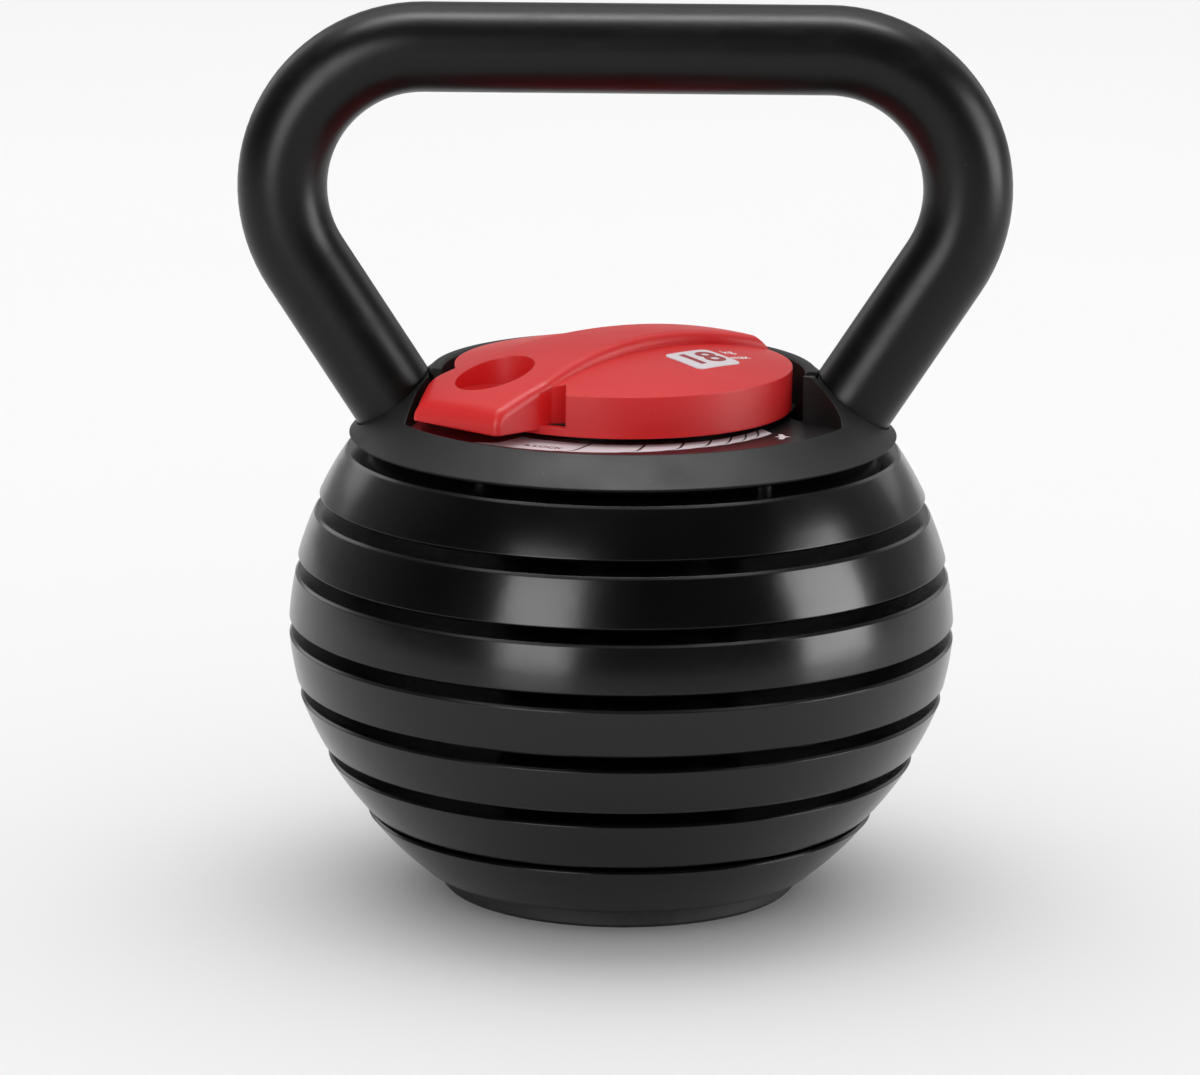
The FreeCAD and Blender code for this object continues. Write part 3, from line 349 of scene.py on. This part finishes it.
def scale_outer(degrees):
    """Outer radius of the white scale, which narrows from the lever's end to the right."""
    stops = ((-44, 65.5), (-38, 64.4), (-30, 63.2), (-15, 61.4), (4, 59.3), (17, 57.6),
             (27, 56.8), (35, 56.4), (42, 55.9), (49, 55.4), (58, 54.8))
    for (a, low), (b, high) in zip(stops, stops[1:]):
        if degrees <= b:
            return low + (high - low) * (degrees - a) / (b - a)
    return stops[-1][1]


SCALE_INNER = 49.0
SCALE_LEFT = -44
SCALE_RIGHT = 57
HOOK_ANGLE = 3.2
HOOK_DEPTH = 0.7
FILM = 0.03
SEPARATORS = (-14.9, 3.9, 17.0, 26.5, 34.4, 41.7, 48.8)
SWEEP = (0.27, 0.39, 0.63, 0.9, 1.15, 1.3, 1.4)
LINE_WIDTH = 0.95


def separator(index, shift):
    """Points of one slanting division line, from the outer edge inwards, with a small hook at
    its outer end.  Shift moves it sideways, in millimetres."""
    start = SEPARATORS[index]
    outer = scale_outer(start)
    points = []
    for count in range(9):
        depth = (outer - SCALE_INNER) * (count / 8) ** 1.5
        hook = HOOK_ANGLE * math.exp(-depth / HOOK_DEPTH)
        radius = outer - depth
        angle = start + SWEEP[index] * depth - hook + math.degrees(shift / radius)
        points.append((radius, angle))
    return points


def scale_piece(index):
    """Outline of one white field of the scale."""
    left = separator(index - 1, LINE_WIDTH / 2) if index else [
        (scale_outer(SCALE_LEFT), SCALE_LEFT), (62.5, -40.5), (60, -39), (56, -39), (SCALE_INNER, -39)]
    right = separator(index, -LINE_WIDTH / 2) if index < len(SEPARATORS) else [
        (scale_outer(SCALE_RIGHT), SCALE_RIGHT), (SCALE_INNER, 62)]
    first, last = left[0][1], right[0][1]
    steps = max(2, int((last - first) / 2))
    rim = [(scale_outer(first + (last - first) * k / steps),
            first + (last - first) * k / steps) for k in range(1, steps)]
    inner_first, inner_last = left[-1][1], right[-1][1]
    hub = [(SCALE_INNER, inner_last + (inner_first - inner_last) * k / steps)
           for k in range(1, steps)]
    return [polar(r, a) for r, a in left[::-1] + rim + right + hub][::-1]


def on_label(name, mesh, lift, material):
    return draped(name, mesh, "dial_label", 4 * MM, lift * MM, FILM * MM, material,
                  "frame")


for number in range(len(SEPARATORS) + 1):
    title = f"scale_field_{number + 1}"
    on_label(title, outline_mesh(title, scale_piece(number)), FILM, WHITE_INK)

STAR_PLACE = (49.2, -34.6)
STAR_REACH = (2.5, 3.9)
star = []
for count in range(12):
    reach = (1.0, 0.42, 0.55, 0.42)[count % 4] if count % 3 else 1.0
    turn = math.radians(30 * count)
    star.append((STAR_PLACE[0] + STAR_REACH[0] * reach * math.cos(turn),
                 STAR_PLACE[1] + STAR_REACH[1] * reach * math.sin(turn)))
on_label("scale_star", outline_mesh("scale_star", star), FILM, WHITE_INK)
on_label("lock_word", text_mesh("lock_word", "LOCK", 2.3, 0.05, (-23.0, -53.4), -23.5, 1.1),
         0.075, MAROON_INK)
pointer = [(-30.6, -51.2), (-28.3, -51.6), (-28.9, -49.4)]
on_label("lock_pointer", outline_mesh("lock_pointer", pointer), 0.075, MAROON_INK)

low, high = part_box("knob_badge")
BADGE_CENTRE = Vector(((low.x + high.x) / 2, (low.y + high.y) / 2)) / MM
BADGE_TURN = 45.0
ALONG = Vector((math.cos(math.radians(BADGE_TURN)), math.sin(math.radians(BADGE_TURN))))
ACROSS = Vector((-ALONG.y, ALONG.x))


def on_knob(name, words, height, bold, centre, node, material, squeeze=1.0):
    mesh = text_mesh(name, words, height, bold, centre, BADGE_TURN, squeeze)
    draped(name, mesh, node, 1.5 * MM, 0.02 * MM, FILM * MM, material, "knob")


on_knob("badge_number", "18", 9.8, 0.33, BADGE_CENTRE, "knob_badge", BADGE_RED, 1.12)
on_knob("knob_unit", "kg", 3.4, 0.06, BADGE_CENTRE + ALONG * 15.2 + ACROSS * 4.2, "lock_knob",
        WHITE_INK)
on_knob("knob_note", "max", 3.2, 0.06, BADGE_CENTRE + ALONG * 14.4 - ACROSS * 1.9, "lock_knob",
        WHITE_INK)


# ---------------------------------------------------------------- studio

def floor_plane():
    mesh = bpy.data.meshes.new("studio_floor")
    reach = 9.0
    mesh.from_pydata([(-reach, -reach, 0), (reach, -reach, 0), (reach, reach, 0),
                      (-reach, reach, 0)], [], [(0, 1, 2, 3)])
    floor = bpy.data.objects.new("studio_floor", mesh)
    bpy.context.scene.collection.objects.link(floor)
    paint(floor, floor_paper())


def softbox(name, place, aim, width, height, radiance, diffuse=True):
    """A rectangular lamp that faces a point; the camera doesn't see it.  Without diffuse it
    only makes highlights."""
    data = bpy.data.lights.new(name, "AREA")
    data.shape = "RECTANGLE"
    data.size = width
    data.size_y = height
    data.energy = radiance * math.pi * width * height
    lamp = bpy.data.objects.new(name, data)
    bpy.context.scene.collection.objects.link(lamp)
    lamp.location = place
    lamp.rotation_euler = (Vector(aim) - Vector(place)).to_track_quat("-Z", "Y").to_euler()
    lamp.visible_camera = False
    lamp.visible_diffuse = diffuse


def studio_world():
    """Pale room: bright behind the object, dark on the camera's side for reflections."""
    world = bpy.data.worlds.new("studio")
    bpy.context.scene.world = world
    world.use_nodes = True
    tree = world.node_tree
    tree.nodes.clear()
    add, join = tree.nodes.new, tree.links.new
    output = add("ShaderNodeOutputWorld")
    place = add("ShaderNodeTexCoord")
    parts = add("ShaderNodeSeparateXYZ")
    join(place.outputs["Generated"], parts.inputs[0])
    side = add("ShaderNodeMapRange")
    for key, value in (("From Min", -0.2), ("From Max", 0.95), ("To Min", 0.012),
                       ("To Max", 0.45)):
        side.inputs[key].default_value = value
    join(parts.outputs["Y"], side.inputs["Value"])
    seen = add("ShaderNodeLightPath")
    shades = []
    for strength in (0.905, 0.84, None):
        shade = add("ShaderNodeBackground")
        if strength is None:
            join(side.outputs[0], shade.inputs["Strength"])
        else:
            shade.inputs["Strength"].default_value = strength
        shade.inputs["Color"].default_value = (1, 1, 1, 1)
        shades.append(shade)
    first = add("ShaderNodeMixShader")
    join(seen.outputs["Is Glossy Ray"], first.inputs[0])
    join(shades[1].outputs[0], first.inputs[1])
    join(shades[2].outputs[0], first.inputs[2])
    second = add("ShaderNodeMixShader")
    join(seen.outputs["Is Camera Ray"], second.inputs[0])
    join(first.outputs[0], second.inputs[1])
    join(shades[0].outputs[0], second.inputs[2])
    join(second.outputs[0], output.inputs["Surface"])


def camera():
    """A long lens from the front, a little above."""
    distance, height = 1.7531, 0.5141
    pitch, yaw, roll = 0.22573, -0.00395, 0.0084
    ahead = Vector((math.sin(yaw) * math.cos(pitch), math.cos(yaw) * math.cos(pitch),
                    -math.sin(pitch)))
    right = Vector((math.cos(yaw), -math.sin(yaw), 0))
    up = right.cross(ahead)
    turned = right * math.cos(roll) + up * math.sin(roll)
    raised = up * math.cos(roll) - right * math.sin(roll)
    data = bpy.data.cameras.new("camera")
    data.sensor_width = 36
    data.lens = 170.87
    data.clip_start = 0.05
    thing = bpy.data.objects.new("camera", data)
    bpy.context.scene.collection.objects.link(thing)
    basis = Matrix((turned, raised, -ahead)).transposed().to_4x4()
    thing.matrix_world = Matrix.Translation((0, -distance, height)) @ basis
    bpy.context.scene.camera = thing


floor_plane()
studio_world()
middle = (0, 0, 0.1)
softbox("front_left", (-0.80, -1.45, 0.62), middle, 0.75, 1.1, 7.0, diffuse=False)
softbox("front_right", (1.60, -0.35, 0.46), (0, 0, 0.25), 0.85, 0.95, 8.5, diffuse=False)
softbox("overhead", (0, 1.0, 3.6), middle, 5.0, 4.0, 1.15)
softbox("top_strip", (0, 0.08, 1.6), middle, 1.4, 0.22, 22.0, diffuse=False)
softbox("back_left", (-1.2, 1.3, 0.9), middle, 0.7, 1.0, 1.2, diffuse=False)
softbox("back_right", (1.2, 1.4, 0.9), middle, 0.7, 1.0, 0.7, diffuse=False)
camera()
bpy.context.scene.view_settings.view_transform = "Standard"
